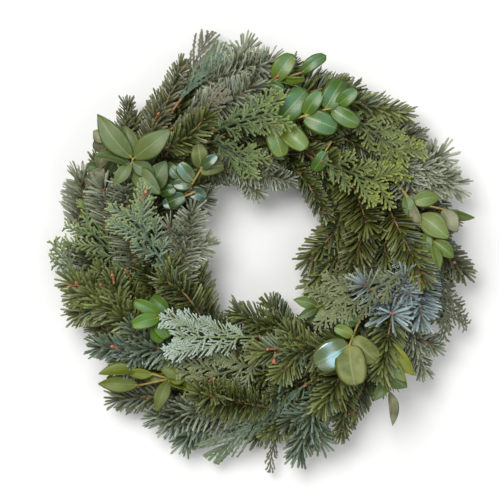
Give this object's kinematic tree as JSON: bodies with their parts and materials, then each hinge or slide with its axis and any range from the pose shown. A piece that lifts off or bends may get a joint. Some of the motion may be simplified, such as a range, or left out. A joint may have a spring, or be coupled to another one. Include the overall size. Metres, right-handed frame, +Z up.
{
  "type": "advent wreath",
  "caption": "Round evergreen wreath of fir, false cypress, box and privet sprays, bound clockwise onto a straw ring with wire, with an open middle.",
  "frame": {"origin": "middle of the wreath's outline seen from above, on the surface that it lies on", "axes": "+Z up from that surface, +X to the right and +Y to the top of the wreath as the picture shows it"},
  "size_m": [0.3484, 0.3548, 0.0851],
  "materials": {
    "blue_cypress": "blue-green scale leaves",
    "blue_juniper": "blue-green scale leaves",
    "box_leaf": "glossy living leaf",
    "brown_juniper": "brown-green scale leaves",
    "dark_fir": "dark green needles on a brown twig",
    "green_cypress": "green scale leaves with yellow-green tips",
    "green_fir": "green needles on an orange-brown twig",
    "noble_fir": "blue-grey needles on a brown twig",
    "olive_cypress": "olive-green scale leaves",
    "privet_leaf": "smooth living leaf with a satin sheen",
    "silver_cypress": "pale silvery scale leaves with a yellow-green rib",
    "straw": "dry straw, tightly bound",
    "wire": "thin steel wire with a dark green lacquer"
  },
  "bodies": {
    "root": {"binding_wire": "wire", "box_sprig_01": "box_leaf", "box_sprig_02": "box_leaf", "box_sprig_05": "box_leaf", "box_sprig_07": "box_leaf", "box_sprig_10": "box_leaf", "cypress_01": "green_cypress", "cypress_02": "blue_cypress", "cypress_03": "green_cypress", "cypress_04": "silver_cypress", "cypress_05": "olive_cypress", "cypress_06": "olive_cypress", "cypress_07": "olive_cypress", "cypress_08": "green_cypress", "cypress_09": "green_cypress", "cypress_10": "green_cypress", "cypress_11": "green_cypress", "fir_02": "dark_fir", "fir_03": "dark_fir", "fir_04": "green_fir", "fir_07": "green_fir", "fir_08": "dark_fir", "fir_09": "green_fir", "fir_10": "dark_fir", "fir_11": "dark_fir", "fir_12": "green_fir", "fir_13": "green_fir", "fir_14": "green_fir", "fir_15": "green_fir", "fir_16": "green_fir", "fir_17": "dark_fir", "fir_18": "green_fir", "fir_19": "green_fir", "fir_22": "dark_fir", "fir_23": "dark_fir", "fir_24": "green_fir", "fir_25": "green_fir", "fir_26": "green_fir", "fir_27": "dark_fir", "fir_30": "green_fir", "fir_32": "green_fir", "juniper_12": "brown_juniper", "juniper_13": "blue_juniper", "juniper_14": "blue_juniper", "juniper_15": "brown_juniper", "noble_fir_01": "noble_fir", "noble_fir_05": "noble_fir", "noble_fir_06": "noble_fir", "noble_fir_20": "noble_fir", "noble_fir_21": "noble_fir", "noble_fir_28": "noble_fir", "noble_fir_29": "noble_fir", "noble_fir_31": "noble_fir", "privet_sprig_03": "privet_leaf", "privet_sprig_04": "privet_leaf", "privet_sprig_06": "privet_leaf", "privet_sprig_08": "privet_leaf", "privet_sprig_09": "privet_leaf", "privet_sprig_11": "privet_leaf", "straw_ring": "straw"}
  },
  "joints": []
}
